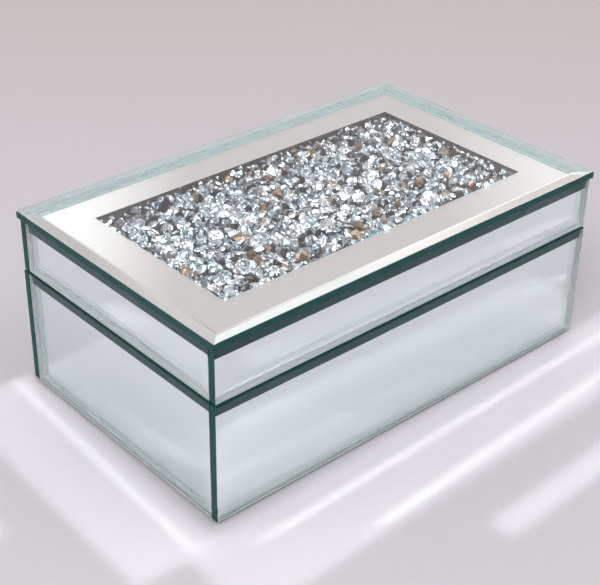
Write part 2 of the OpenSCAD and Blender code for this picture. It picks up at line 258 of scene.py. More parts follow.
class Groups:
    """Shader node groups that several finishes share, each built once."""

    TWO_TONES = {
        "Low": ("NodeSocketColor", (0.0, 0.0, 0.0, 1.0)),
        "High": ("NodeSocketColor", (1.0, 1.0, 1.0, 1.0)),
    }
    SHADE = {"Colour": "NodeSocketColor", "Height": "NodeSocketFloat"}

    @staticmethod
    def _start(name: str, inputs: dict[str, tuple[str, object]],
               outputs: dict[str, str]) -> tuple[Nodes, bpy.types.Node, bpy.types.Node]:
        """Makes an empty group.

        Args:
            name: Name of the group.
            inputs: Socket names with their kind and first value.
            outputs: Socket names with their kind.

        Returns:
            The group's nodes, its input node and its output node.
        """
        tree = bpy.data.node_groups.new(name, "ShaderNodeTree")
        for key, (kind, value) in inputs.items():
            socket = tree.interface.new_socket(key, in_out="INPUT", socket_type=kind)
            socket.default_value = value
        for key, kind in outputs.items():
            tree.interface.new_socket(key, in_out="OUTPUT", socket_type=kind)
        nodes = Nodes(tree)
        return nodes, nodes.node("NodeGroupInput"), nodes.node("NodeGroupOutput")

    @staticmethod
    def _blend(nodes: Nodes, into: bpy.types.Node, out: bpy.types.Node,
               factor: bpy.types.NodeSocket) -> None:
        """Mixes a group's two tones into its colour.

        Args:
            nodes: The group's nodes.
            into: Its input node.
            out: Its output node.
            factor: The share of the high tone.
        """
        blend = nodes.node("ShaderNodeMix", data_type="RGBA")
        nodes.link(factor, blend.inputs["Factor"])
        nodes.link(into.outputs["Low"], blend.inputs["A"])
        nodes.link(into.outputs["High"], blend.inputs["B"])
        nodes.link(blend.outputs["Result"], out.inputs["Colour"])

    @classmethod
    @cache
    def grain(cls) -> bpy.types.NodeTree:
        """Noise between two colours, with its height, stretched along the axes as asked."""
        nodes, into, out = cls._start(
            "grain",
            {
                **cls.TWO_TONES,
                "Scale": ("NodeSocketFloat", 400.0),
                "Detail": ("NodeSocketFloat", 4.0),
                "Stretch": ("NodeSocketVector", (1.0, 1.0, 1.0)),
            },
            cls.SHADE,
        )
        place = nodes.node("ShaderNodeTexCoord")
        stretch = nodes.node("ShaderNodeVectorMath", operation="MULTIPLY")
        clouds = nodes.node("ShaderNodeTexNoise")
        nodes.link(place.outputs["Object"], stretch.inputs[0])
        nodes.link(into.outputs["Stretch"], stretch.inputs[1])
        nodes.link(stretch.outputs["Vector"], clouds.inputs["Vector"])
        nodes.link(into.outputs["Scale"], clouds.inputs["Scale"])
        nodes.link(into.outputs["Detail"], clouds.inputs["Detail"])
        nodes.link(clouds.outputs["Fac"], out.inputs["Height"])
        cls._blend(nodes, into, out, clouds.outputs["Fac"])
        return nodes.tree

    @classmethod
    @cache
    def facets(cls) -> bpy.types.NodeTree:
        """Small inner facets: cells of two tones, each with its own slope."""
        nodes, into, out = cls._start(
            "facets", {**cls.TWO_TONES, "Scale": ("NodeSocketFloat", 600.0)}, cls.SHADE)
        place = nodes.node("ShaderNodeTexCoord")
        cells = nodes.node("ShaderNodeTexVoronoi")
        split = nodes.node("ShaderNodeSeparateColor")
        nodes.link(place.outputs["Object"], cells.inputs["Vector"])
        nodes.link(into.outputs["Scale"], cells.inputs["Scale"])
        nodes.link(cells.outputs["Color"], split.inputs["Color"])
        nodes.link(cells.outputs["Distance"], out.inputs["Height"])
        cls._blend(nodes, into, out, split.outputs["Red"])
        return nodes.tree

    @classmethod
    @cache
    def smudges(cls) -> bpy.types.NodeTree:
        """Roughness of a polished surface with faint wiped patches."""
        nodes, into, out = cls._start(
            "smudges",
            {
                "Clean": ("NodeSocketFloat", 0.0),
                "Smudged": ("NodeSocketFloat", 0.05),
                "Scale": ("NodeSocketFloat", 30.0),
            },
            {"Roughness": "NodeSocketFloat"},
        )
        place = nodes.node("ShaderNodeTexCoord")
        clouds = nodes.node("ShaderNodeTexNoise", in_Detail=3.0)
        ramp = nodes.node("ShaderNodeMapRange", in_From_Min=0.52, in_From_Max=0.80)
        nodes.link(place.outputs["Object"], clouds.inputs["Vector"])
        nodes.link(into.outputs["Scale"], clouds.inputs["Scale"])
        nodes.link(clouds.outputs["Fac"], ramp.inputs["Value"])
        nodes.link(into.outputs["Clean"], ramp.inputs["To Min"])
        nodes.link(into.outputs["Smudged"], ramp.inputs["To Max"])
        nodes.link(ramp.outputs["Result"], out.inputs["Roughness"])
        return nodes.tree


# ----- Finishes -----


@dataclass(frozen=True)
class GlassFinish:
    """Clear float glass with a faint green depth."""

    name: str = "float_glass"
    ior: float = 1.52
    depth_colour: Colour = (0.30, 0.88, 0.92)
    density: float = 10.0
    smudge: float = 0.02
    shine: Colour = (1.0, 1.0, 1.0)

    def build(self) -> bpy.types.Material:
        """Makes the material."""
        shader = Shader(self.name)
        shader.set(Base_Color=(1.0, 1.0, 1.0), Transmission_Weight=1.0, IOR=self.ior,
                   Specular_Tint=self.shine)
        smudges = shader.group(Groups.smudges(), Smudged=self.smudge, Scale=22.0)
        shader.link(smudges.outputs["Roughness"], shader.bsdf.inputs["Roughness"])
        depth = shader.node("ShaderNodeVolumeAbsorption", in_Color=(*self.depth_colour, 1.0),
                            in_Density=self.density)
        shader.link(depth.outputs["Volume"], shader.output.inputs["Volume"])
        return shader.material


@dataclass(frozen=True)
class SilverFinish:
    """Silvering on the back of a pane, a little uneven."""

    name: str = "silvering"
    colour: Colour = (0.955, 0.995, 0.99)
    cloudy: Colour = (0.94, 0.985, 0.98)

    def build(self) -> bpy.types.Material:
        """Makes the material."""
        shader = Shader(self.name)
        shader.set(Metallic=1.0, Roughness=0.0)
        cloud = shader.group(Groups.grain(), Low=self.cloudy, High=self.colour, Scale=14.0,
                             Detail=2.0)
        shader.link(cloud.outputs["Colour"], shader.bsdf.inputs["Base Color"])
        return shader.material


@dataclass(frozen=True)
class EdgeFinish:
    """Ground glass edge, opaque: dark green from outside, pale seen through the pane."""

    name: str = "ground_edge"
    dark: Colour = (0.004, 0.042, 0.037)
    light: Colour = (0.014, 0.090, 0.081)
    inside: Colour = (0.97, 0.95, 0.93)
    roughness: float = 0.4

    def build(self) -> bpy.types.Material:
        """Makes the material."""
        shader = Shader(self.name)
        shader.set(Roughness=self.roughness, Specular_IOR_Level=0.15)
        lines = shader.group(Groups.grain(), Low=self.dark, High=self.light, Scale=260.0,
                             Detail=3.0, Stretch=(0.4, 0.4, 0.4))
        side = shader.node("ShaderNodeNewGeometry")
        tint = shader.node("ShaderNodeMix", data_type="RGBA", in_B=(*self.inside, 1.0))
        shader.link(side.outputs["Backfacing"], tint.inputs["Factor"])
        shader.link(lines.outputs["Colour"], tint.inputs["A"])
        shader.link(tint.outputs["Result"], shader.bsdf.inputs["Base Color"])
        shader.bump(lines.outputs["Height"], strength=0.15, distance=0.0001)
        return shader.material


@dataclass(frozen=True)
class MattFinish:
    """An even surface with grain: board, tray film, felt, silicone, or the dark band of painted shade
    along the tops of the panes.
    """

    name: str
    low: Colour
    high: Colour
    roughness: float
    scale: float = 900.0
    bump: float = 0.3
    depth: float = 0.0002
    sheen: float = 0.0
    specular: float = 0.5

    def build(self) -> bpy.types.Material:
        """Makes the material."""
        shader = Shader(self.name)
        shader.set(Roughness=self.roughness, Sheen_Weight=self.sheen, Specular_IOR_Level=self.specular)
        grain = shader.group(Groups.grain(), Low=self.low, High=self.high, Scale=self.scale, Detail=5.0)
        shader.link(grain.outputs["Colour"], shader.bsdf.inputs["Base Color"])
        shader.bump(grain.outputs["Height"], self.bump, self.depth)
        return shader.material


@dataclass(frozen=True)
class MetalFinish:
    """Plated steel with faint smudges."""

    name: str
    colour: Colour
    dull: Colour
    clean: float = 0.18
    smudged: float = 0.34

    def build(self) -> bpy.types.Material:
        """Makes the material."""
        shader = Shader(self.name)
        shader.set(Metallic=1.0)
        smudges = shader.group(Groups.smudges(), Clean=self.clean, Smudged=self.smudged, Scale=180.0)
        shader.link(smudges.outputs["Roughness"], shader.bsdf.inputs["Roughness"])
        grain = shader.group(Groups.grain(), Low=self.dull, High=self.colour, Scale=300.0)
        shader.link(grain.outputs["Colour"], shader.bsdf.inputs["Base Color"])
        shader.bump(grain.outputs["Height"], strength=0.05, distance=0.0001)
        return shader.material


@dataclass(frozen=True)
class CrystalFinish:
    """Cut crystal with a foiled back: bright facets in one tone."""

    name: str
    low: Colour
    high: Colour
    roughness: float = 0.05
    facet_scale: float = 450.0
    facet_depth: float = 0.16
    foil: float = 0.78

    def build(self) -> bpy.types.Material:
        """Makes the material."""
        shader = Shader(self.name)
        shader.set(Metallic=self.foil, Roughness=self.roughness)
        facets = shader.group(Groups.facets(), Low=self.low, High=self.high, Scale=self.facet_scale)
        shader.link(facets.outputs["Colour"], shader.bsdf.inputs["Base Color"])
        shader.bump(facets.outputs["Height"], self.facet_depth, distance=0.0008)
        return shader.material


# ----- Panes -----


class Facing(Enum):
    """Way that a pane's bevelled face looks."""

    FRONT = (0.0, -1.0, 0.0)
    BACK = (0.0, 1.0, 0.0)
    LEFT = (-1.0, 0.0, 0.0)
    RIGHT = (1.0, 0.0, 0.0)
    UP = (0.0, 0.0, 1.0)


# Material numbers of a pane's faces, in the order of Glazing's list.
GLASS, SILVER, EDGE, PAINTED_SHADE_BAND, PAINTED_SHADE_BEVEL, WINDOW = range(6)

# How squarely a face must look out to be polished, or back to be silvered.
POLISHED_LIMIT = 0.9
SILVERED_LIMIT = 0.99


@dataclass
class MirrorPane:
    """One bevelled pane, silvered behind, with ground edges.

    Attributes:
        glue_line: Gap left behind the silver.
        shade_band_width: Depth of the strip of painted dark shade along the top of the back.
        window_border: Width of the silvered border round a clear window.
    """

    node: str
    body: str
    facing: Facing
    slot: str = "mirror_pane"
    bevel_width: float = 5.6 * MM
    bevel_drop: float = 0.5 * MM
    arris: float = 0.4 * MM
    glue_line: float = 0.05 * MM
    shade_band_width: float = 0.0
    window_border: float = 0.0
    notches: tuple[tuple[Vector, Vector], ...] = ()

    def shape(self) -> bmesh.types.BMesh:
        """Builds the slab with its bevels, its strip and top bevel of painted dark shade, and its window
        if it has one.

        Returns:
            The shape, its faces numbered by their finish.
        """
        out = Vector(self.facing.value)
        bm = box_mesh(*node_box(self.node))
        back = min(bm.faces, key=lambda f: f.normal.dot(out))
        bmesh.ops.translate(bm, vec=out * self.glue_line, verts=back.verts)
        front = max(bm.faces, key=lambda f: f.normal.dot(out))
        rim = list(front.verts)
        bmesh.ops.inset_region(bm, faces=[front], thickness=self.bevel_width, use_even_offset=True)
        bmesh.ops.translate(bm, vec=-out * self.bevel_drop, verts=rim)
        bm.normal_update()
        window = None
        if self.window_border:
            back = min(bm.faces, key=lambda f: f.normal.dot(out))
            bmesh.ops.inset_region(bm, faces=[back], thickness=self.window_border,
                                   use_even_offset=True)
            window = back.calc_center_median()
        round_edges(bm, self.arris)
        bm.normal_update()
        for face in bm.faces:
            along = face.normal.dot(out)
            if along > POLISHED_LIMIT:
                face.material_index = GLASS
            else:
                face.material_index = SILVER if along < -SILVERED_LIMIT else EDGE
        # Painted shade: a dark strip on the back along the top and a dark matt top bevel stand in for the
        # shaded band there.
        if self.shade_band_width:
            self.paint_top_shade(bm)
            # The highest polished face, the top bevel, gets dark matt painted shade in place of glass.
            upper = max((f for f in bm.faces if f.material_index == GLASS),
                        key=lambda f: f.calc_center_median().z)
            upper.material_index = PAINTED_SHADE_BEVEL
        if window:
            middle = min((f for f in bm.faces if f.material_index == SILVER),
                         key=lambda f: (f.calc_center_median() - window).length)
            middle.material_index = WINDOW
            front = max((f for f in bm.faces if f.material_index == GLASS), key=lambda f: f.calc_area())
            bmesh.ops.inset_region(bm, faces=[front], thickness=self.window_border - self.bevel_width,
                                   use_even_offset=True)
            front.material_index = WINDOW
        return bm

    def paint_top_shade(self, bm: bmesh.types.BMesh) -> None:
        """Parts off the strip of the back along the top, where painted dark shade takes the silver's
        place.

        Args:
            bm: The pane, changed in place.
        """
        level = node_box(self.node)[1].z - self.shade_band_width
        back = [f for f in bm.faces if f.material_index == SILVER]
        edges = {e for f in back for e in f.edges}
        verts = {v for f in back for v in f.verts}
        bmesh.ops.bisect_plane(bm, geom=[*back, *edges, *verts], plane_co=(0, 0, level),
                               plane_no=(0, 0, 1))
        for face in bm.faces:
            if face.material_index == SILVER and face.calc_center_median().z > level:
                face.material_index = PAINTED_SHADE_BAND

    def build(self, materials: list[bpy.types.Material]) -> bpy.types.Object:
        """Makes the pane in place of its CAD node.

        Args:
            materials: Finishes in the order of the face numbers.

        Returns:
            The finished pane.
        """
        obj = finish_mesh(f"{self.node}_pane", self.shape(), materials)
        if self.notches:
            cutters = []
            for low, high in self.notches:
                bm = box_mesh(low, high)
                for face in bm.faces:
                    face.material_index = EDGE
                cutters.append(finish_mesh("cutter", bm, materials))
            cut_away(obj, cutters)
        return place_piece(obj, self.body, self.slot, self.node)


# ----- Crystals -----


class Cut(Enum):
    """Shapes of crystal in the tray."""

    ROUND = "round"
    CONE = "cone"
    CHIP = "chip"


class Tone(Enum):
    """Tones of crystal in the tray."""

    SILVER = "silver"
    ICE = "ice"
    SMOKE = "smoke"
    AMBER = "amber"


@dataclass(frozen=True)
class Gem:
    """One crystal: where it lies, how big it is, how it is turned, its cut and its tone."""

    middle: Vector
    radius: float
    turn: Euler
    cut: Cut
    tone: Tone


def ring(bm: bmesh.types.BMesh, sides: int, radius: float, height: float,
         phase: float = 0.0) -> list[bmesh.types.BMVert]:
    """Adds a ring of vertices at a height.

    Args:
        bm: The shape that they go into.
        sides: How many there are.
        radius: Radius of the ring.
        height: Its height.
        phase: Turn of the first vertex, in steps.

    Returns:
        The new vertices in order.
    """
    step = math.tau / sides
    return [bm.verts.new((radius * math.cos((i + phase) * step),
                          radius * math.sin((i + phase) * step), height))
            for i in range(sides)]


def round_cut(bm: bmesh.types.BMesh) -> list[bmesh.types.BMVert]:
    """Adds a round brilliant of unit radius: table, stars, kites, girdle and pavilion."""
    sides = 6
    table = ring(bm, sides, 0.55, 0.38)
    middle = ring(bm, sides, 0.80, 0.24, 0.5)
    girdle = ring(bm, 2 * sides, 1.0, 0.03)
    tip = bm.verts.new((0.0, 0.0, -0.80))
    bm.faces.new(table)
    for i in range(sides):
        j = (i + 1) % sides
        k = 2 * i
        bm.faces.new((table[j], table[i], middle[i]))
        bm.faces.new((table[i], girdle[k], middle[i]))
        bm.faces.new((middle[i], girdle[k], girdle[k + 1]))
        bm.faces.new((middle[i], girdle[k + 1], girdle[(k + 2) % (2 * sides)]))
        bm.faces.new((table[j], middle[i], girdle[(k + 2) % (2 * sides)]))
    for i in range(2 * sides):
        bm.faces.new((girdle[i], tip, girdle[(i + 1) % (2 * sides)]))
    return table + middle + girdle + [tip]


def cone_cut(bm: bmesh.types.BMesh) -> list[bmesh.types.BMVert]:
    """Adds a six-sided double cone with a small table."""
    sides = 6
    table = ring(bm, sides, 0.42, 0.62)
    girdle = ring(bm, sides, 0.94, 0.02)
    tip = bm.verts.new((0.0, 0.0, -0.92))
    bm.faces.new(table)
    for i in range(sides):
        j = (i + 1) % sides
        bm.faces.new((table[i], girdle[i], girdle[j], table[j]))
        bm.faces.new((girdle[i], tip, girdle[j]))
    return table + girdle + [tip]


def chip_cut(bm: bmesh.types.BMesh, rng: random.Random) -> list[bmesh.types.BMVert]:
    """Adds an irregular splinter: the hull of a few points near a flattened sphere."""
    verts = []
    for _ in range(9):
        point = Vector((rng.gauss(0, 1), rng.gauss(0, 1), rng.gauss(0, 1))).normalized()
        verts.append(bm.verts.new((point.x, point.y * 0.8, point.z * 0.6)))
    hull = bmesh.ops.convex_hull(bm, input=verts)
    loose = [g for g in hull["geom_interior"] if isinstance(g, bmesh.types.BMVert)]
    verts = [v for v in verts if v not in loose]
    bmesh.ops.delete(bm, geom=loose, context="VERTS")
    return verts


@dataclass(frozen=True)
class Pour:
    """One batch of crystals poured into the tray.

    Attributes:
        cuts: Shares of round, cone and chip cuts.
        tones: Shares of silver, ice, smoke and amber.
        lean: How far they tip over, in radians.
        choices: How many places each one tries, to lie in the lowest.
        walls: Whether they lie against the walls of the tray.
    """

    count: int
    smallest: float
    largest: float
    cuts: tuple[float, float, float] = (0.8, 0.12, 0.08)
    tones: tuple[float, float, float, float] = (0.52, 0.34, 0.11, 0.03)
    lean: float = 0.5
    choices: int = 4
    walls: bool = False


@dataclass
class CrystalTray:
    """The heap of loose crystals under the window.

    Attributes:
        play: How far the heap goes beyond the CAD crystals, in millimetres.
        wall_share: Share of the wall crystals that lie along the long walls.
        wall_gap: Distance of a wall crystal's middle from its wall, in radii.
        sink: How far apart crystals settle, as a share of their radii.
    """

    seed: int = 7
    pours: tuple[Pour, ...] = (
        Pour(320, 3.4 * MM, 4.3 * MM, choices=5),
        Pour(110, 2.8 * MM, 3.4 * MM, walls=True),
        Pour(26, 4.4 * MM, 5.0 * MM, cuts=(1.0, 0.0, 0.0), tones=(0.7, 0.3, 0.0, 0.0), lean=0.3),
        Pour(620, 3.0 * MM, 4.6 * MM, choices=3),
        Pour(150, 3.2 * MM, 4.3 * MM, cuts=(0.0, 1.0, 0.0), tones=(0.0, 0.0, 0.1, 0.9), lean=1.6),
        Pour(150, 1.8 * MM, 2.6 * MM, walls=True),
        Pour(300, 1.8 * MM, 2.7 * MM, cuts=(0.7, 0.15, 0.15), choices=6),
        Pour(120, 1.2 * MM, 1.8 * MM, walls=True),
        Pour(260, 1.1 * MM, 1.8 * MM, cuts=(0.4, 0.3, 0.3), choices=6),
        Pour(200, 0.8 * MM, 1.1 * MM, cuts=(0.2, 0.2, 0.6)),
    )
    play: tuple[float, float, float] = (3.3, 2.7, 0.0)
    wall_share: float = 0.66
    wall_gap: float = 0.7
    sink: float = 0.74
    headroom: float = 0.25 * MM
    cell: float = 10.5 * MM
    gems: list[Gem] = field(default_factory=list)
    _grid: dict[tuple[int, int], list[Gem]] = field(default_factory=dict)

    def rest_height(self, x: float, y: float, radius: float, floor_z: float) -> float:
        """Height at which a crystal comes to rest.

        Args:
            x: Its place along the tray.
            y: Its place across the tray.
            radius: Its radius.
            floor_z: Height of the tray's floor.

        Returns:
            Height of its middle.
        """
        z = floor_z + radius * self.sink
        column, row = int(x // self.cell), int(y // self.cell)
        for i in (column - 1, column, column + 1):
            for j in (row - 1, row, row + 1):
                for gem in self._grid.get((i, j), ()):
                    reach = (radius + gem.radius) * self.sink
                    flat = (x - gem.middle.x) ** 2 + (y - gem.middle.y) ** 2
                    if flat < reach * reach:
                        z = max(z, gem.middle.z + math.sqrt(reach * reach - flat))
        return z

    def heap(self) -> None:
        """Drops the crystals one by one, each in the lowest of a few places."""
        rng = random.Random(self.seed)
        frame_low, frame_high = node_box("tray_frame")
        crystals_low, crystals_high = node_box("crystals")
        ceiling = frame_high.z - self.headroom
        play = Vector(self.play) * MM
        low, high = crystals_low - play, crystals_high + play
        for pour in self.pours:
            for _ in range(pour.count):
                radius = rng.uniform(pour.smallest, pour.largest)
                places = []
                for _ in range(pour.choices):
                    x = rng.uniform(low.x + radius, high.x - radius)
                    y = rng.uniform(low.y + radius, high.y - radius)
                    gap = self.wall_gap * radius
                    if pour.walls and rng.random() < self.wall_share:
                        y = rng.choice((low.y + gap, high.y - gap))
                    elif pour.walls:
                        x = rng.choice((low.x + gap, high.x - gap))
                    places.append((self.rest_height(x, y, radius, frame_low.z), x, y))
                z, x, y = min(places)
                if z + radius > ceiling:
                    continue
                cut = rng.choices(list(Cut), pour.cuts)[0]
                tone = rng.choices(list(Tone), pour.tones)[0]
                turn = Euler((rng.gauss(0, pour.lean), rng.gauss(0, pour.lean), rng.uniform(0, math.tau)))
                gem = Gem(Vector((x, y, z)), radius, turn, cut, tone)
                self.gems.append(gem)
                self._grid.setdefault((int(x // self.cell), int(y // self.cell)), []).append(gem)

    def build(self, finishes: dict[Tone, bpy.types.Material]) -> None:
        """Makes one piece of crystals for each tone.

        Args:
            finishes: Material of each tone.
        """
        self.heap()
        rng = random.Random(self.seed + 1)
        shapes = {tone: bmesh.new() for tone in Tone}
        for gem in self.gems:
            bm = shapes[gem.tone]
            if gem.cut is Cut.ROUND:
                verts = round_cut(bm)
            elif gem.cut is Cut.CONE:
                verts = cone_cut(bm)
            else:
                verts = chip_cut(bm, rng)
            place = Matrix.Translation(gem.middle) @ gem.turn.to_matrix().to_4x4()
            bmesh.ops.transform(bm, matrix=place @ Matrix.Scale(gem.radius, 4), verts=verts)
        for tone, bm in shapes.items():
            bmesh.ops.recalc_face_normals(bm, faces=bm.faces)
            obj = finish_mesh(f"crystals_{tone.value}", bm, [finishes[tone]])
            nodes = ("crystals",) if tone is Tone.SILVER else ()
            place_piece(obj, "lid", "crystal", *nodes)
        log.info("%d crystals", len(self.gems))


# ----- The studio -----


@dataclass(frozen=True)
class SoftCard:
    """A soft bright or dark patch of the room, placed and sized in degrees as the box sees it."""

    azimuth: float
    elevation: float
    spread: float
    edge: float
    colour: Colour

    def direction(self) -> Vector:
        """Direction from the box to the middle of the card."""
        az, el = math.radians(self.azimuth), math.radians(self.elevation)
        return Vector((math.cos(az) * math.cos(el), math.sin(az) * math.cos(el), math.sin(el)))

    def cosine(self, extra: float) -> float:
        """Cosine of the card's spread with some degrees added, or of zero if less is left."""
        return math.cos(math.radians(max(self.spread + extra, 0.0)))


@dataclass(frozen=True)
class StripLight:
    """A soft rectangular light, in metres, watts and degrees."""

    place: tuple[float, float, float]
    aim: tuple[float, float, float]
    size: tuple[float, float]
    power: float
    turn: float = 0.0
    spread: float = 180.0
    mirrored: bool = True

    @classmethod
    def band(cls, x: float, y: float, size: tuple[float, float], power: float, turn: float,
             spread: float) -> "StripLight":
        """A narrow beam straight down that paints one band on the floor."""
        return cls((x, y, 0.30), (x, y, 0.0), size, power, turn, spread, False)


@dataclass
class Studio:
    """Pale floor, a soft room, strip lights and the camera.

    Attributes:
        floor_away: Direction along the floor, away from the camera.
        bounce: Share of the cards' light that reaches matt surfaces.
    """

    azimuth: float = -42.07
    elevation: float = 31.45
    roll: float = 1.01
    distance: float = 0.7105
    target: tuple[float, float, float] = (-0.0048, 0.0043, 0.0380)
    lens: float = 81.8
    sensor: float = 36.0
    floor_size: float = 6.0
    floor_away: tuple[float, float, float] = (0.669, 0.743, 0.0)
    # Painted light and shade on the floor: lighter near the camera, darker and warmer away from it.
    floor_shade_fade: float = 0.75
    floor_lit_near: Colour = (0.555, 0.53, 0.545)
    floor_shaded_far: Colour = (0.485, 0.43, 0.41)
    room_low: Colour = (0.685, 0.605, 0.595)
    room_high: Colour = (0.30, 0.31, 0.33)
    room_rise: tuple[float, float] = (0.50, 0.95)
    bounce: float = 0.45
    light_colour: Colour = (0.94, 0.96, 1.0)
    cards: tuple[SoftCard, ...] = (
        SoftCard(67.0, 26.0, 6.0, 7.0, (0.65, 0.65, 0.65)),
        SoftCard(27.0, 22.0, 8.0, 7.0, (0.45, 0.45, 0.45)),
        SoftCard(44.0, 15.0, 4.0, 4.0, (2.2, 2.1, 1.9)),
        SoftCard(36.0, 46.0, 7.0, 5.0, (0.45, 0.44, 0.42)),
        SoftCard(54.0, 42.0, 5.0, 4.0, (-0.26, -0.27, -0.29)),
        SoftCard(-60.0, 55.0, 11.0, 5.0, (4.4, 4.6, 4.9)),
        SoftCard(150.0, 50.0, 12.0, 5.0, (3.6, 3.8, 4.0)),
        SoftCard(60.0, 70.0, 10.0, 5.0, (4.8, 4.9, 5.1)),
        SoftCard(-10.0, 62.0, 9.0, 4.0, (3.2, 3.4, 3.7)),
        SoftCard(-150.0, 42.0, 11.0, 5.0, (3.0, 3.1, 3.3)),
        SoftCard(-30.0, 28.0, 7.0, 4.0, (3.8, 3.9, 4.1)),
        SoftCard(120.0, 25.0, 7.0, 4.0, (2.6, 2.7, 2.9)),
        SoftCard(-100.0, 78.0, 6.0, 3.0, (5.0, 5.2, 5.5)),
        SoftCard(-135.0, 70.0, 10.0, 9.0, (-0.34, -0.34, -0.35)),
        SoftCard(100.0, 45.0, 10.0, 8.0, (-0.34, -0.34, -0.34)),
        SoftCard(10.0, 42.0, 10.0, 8.0, (-0.34, -0.34, -0.34)),
        SoftCard(-100.0, 25.0, 18.0, 10.0, (-0.60, -0.52, -0.47)),
        SoftCard(180.0, 20.0, 14.0, 10.0, (-0.55, -0.48, -0.43)),
    )
    strips: tuple[StripLight, ...] = (
        StripLight((-0.75, -0.55, 0.95), (0.0, -0.05, 0.05), (0.35, 0.35), 5.0),
        StripLight.band(0.002, -0.103, (0.30, 0.048), 0.0190, 1.0, 2.6),
        StripLight.band(0.01, -0.093, (0.25, 0.002), 0.0016, 1.5, 1.6),
        StripLight.band(0.05, -0.117, (0.24, 0.003), 0.0018, 2.5, 1.8),
        StripLight.band(0.10, -0.156, (0.26, 0.014), 0.0052, 2.0, 2.6),
        StripLight.band(0.14, -0.184, (0.26, 0.005), 0.0021, 2.5, 2.4),
        StripLight.band(-0.150, -0.002, (0.044, 0.166), 0.0100, -2.0, 2.6),
        StripLight.band(-0.138, 0.0, (0.002, 0.16), 0.0010, -3.0, 1.6),
        StripLight.band(-0.196, 0.045, (0.018, 0.13), 0.0036, -12.0, 3.0),
    )

    def camera(self) -> None:
        """Makes the camera."""
        az, el = math.radians(self.azimuth), math.radians(self.elevation)
        back = Vector((math.sin(az) * math.cos(el), -math.cos(az) * math.cos(el), math.sin(el)))
        data = bpy.data.cameras.new("camera")
        data.lens = self.lens
        data.sensor_width = self.sensor
        data.clip_start = 0.01
        data.clip_end = 50.0
        camera = add_object("camera", data)
        camera.matrix_world = aimed(Vector(self.target) + back * self.distance, back, self.roll)
        bpy.context.scene.camera = camera

    def floor(self) -> None:
        """Makes the pale floor, its colour painted lighter near the camera and darker further away as
        painted light and shade.
        """
        bm = bmesh.new()
        bmesh.ops.create_grid(bm, x_segments=1, y_segments=1, size=self.floor_size)
        shader = Shader("studio_floor")
        shader.set(Roughness=0.6)
        place = shader.node("ShaderNodeTexCoord")
        depth = shader.node("ShaderNodeVectorMath", operation="DOT_PRODUCT", in_1=self.floor_away)
        fade = shader.node("ShaderNodeMapRange", interpolation_type="SMOOTHSTEP",
                           in_From_Max=self.floor_shade_fade)
        # Painted light falloff: the near colour blends into the darker far colour away from the camera.
        tone = shader.node("ShaderNodeMix", data_type="RGBA", in_A=(*self.floor_lit_near, 1.0),
                           in_B=(*self.floor_shaded_far, 1.0))
        shader.link(place.outputs["Object"], depth.inputs[0])
        shader.link(depth.outputs["Value"], fade.inputs["Value"])
        shader.link(fade.outputs["Result"], tone.inputs["Factor"])
        shader.link(tone.outputs["Result"], shader.bsdf.inputs["Base Color"])
        obj = finish_mesh("studio_floor", bm, [shader.material])

    def strip_light(self, name: str, strip: StripLight) -> None:
        """Makes one area light.

        Args:
            name: Name of the light.
            strip: Its place, aim, size and power.
        """
        data = bpy.data.lights.new(name, "AREA")
        data.shape = "RECTANGLE"
        data.size, data.size_y = strip.size
        data.energy = strip.power
        data.color = self.light_colour
        data.spread = math.radians(strip.spread)
        obj = add_object(name, data)
        obj.visible_camera = False
        obj.visible_glossy = strip.mirrored
        obj.visible_transmission = strip.mirrored
        place = Vector(strip.place)
        obj.matrix_world = aimed(place, place - Vector(strip.aim), strip.turn)

    def world(self) -> None:
        """Makes the room: a soft gradient with bright and dark cards on it."""
        world = bpy.data.worlds.new("room")
        bpy.context.scene.world = world
        world.use_nodes = True
        room = Nodes(world.node_tree)
        view = room.node("ShaderNodeTexCoord").outputs["Generated"]
        split = room.node("ShaderNodeSeparateXYZ")
        rise = room.node("ShaderNodeMapRange", interpolation_type="SMOOTHSTEP",
                         in_From_Min=self.room_rise[0], in_From_Max=self.room_rise[1])
        height = room.node("ShaderNodeMix", data_type="RGBA", in_A=(*self.room_low, 1.0),
                           in_B=(*self.room_high, 1.0))
        ray = room.node("ShaderNodeLightPath")
        share = room.node("ShaderNodeMapRange", in_To_Min=1.0, in_To_Max=self.bounce)
        room.link(view, split.inputs["Vector"])
        room.link(split.outputs["Z"], rise.inputs["Value"])
        room.link(rise.outputs["Result"], height.inputs["Factor"])
        room.link(ray.outputs["Is Diffuse Ray"], share.inputs["Value"])
        light = height.outputs["Result"]
        for card in self.cards:
            near = room.node("ShaderNodeVectorMath", operation="DOT_PRODUCT", in_1=card.direction())
            edge = room.node("ShaderNodeMapRange", interpolation_type="SMOOTHSTEP",
                             in_From_Min=card.cosine(card.edge), in_From_Max=card.cosine(-card.edge))
            amount = room.node("ShaderNodeMath", operation="MULTIPLY")
            glow = room.node("ShaderNodeVectorMath", operation="SCALE", in_0=card.colour)
            total = room.node("ShaderNodeVectorMath", operation="ADD")
            room.link(view, near.inputs[0])
            room.link(near.outputs["Value"], edge.inputs["Value"])
            room.link(edge.outputs["Result"], amount.inputs[0])
            room.link(share.outputs["Result"], amount.inputs[1])
            room.link(amount.outputs["Value"], glow.inputs["Scale"])
            room.link(light, total.inputs[0])
            room.link(glow.outputs["Vector"], total.inputs[1])
            light = total.outputs["Vector"]
        room.link(light, room.tree.nodes["Background"].inputs["Color"])

    def build(self) -> None:
        """Sets up the whole studio."""
        scene = bpy.context.scene
        scene.view_settings.view_transform = "Standard"
        scene.cycles.glossy_bounces = 12
        scene.cycles.transmission_bounces = 14
        scene.cycles.max_bounces = 18
        self.camera()
        self.floor()
        self.world()
        for number, strip in enumerate(self.strips):
            self.strip_light(f"strip_light_{number}", strip)


# ----- The box -----


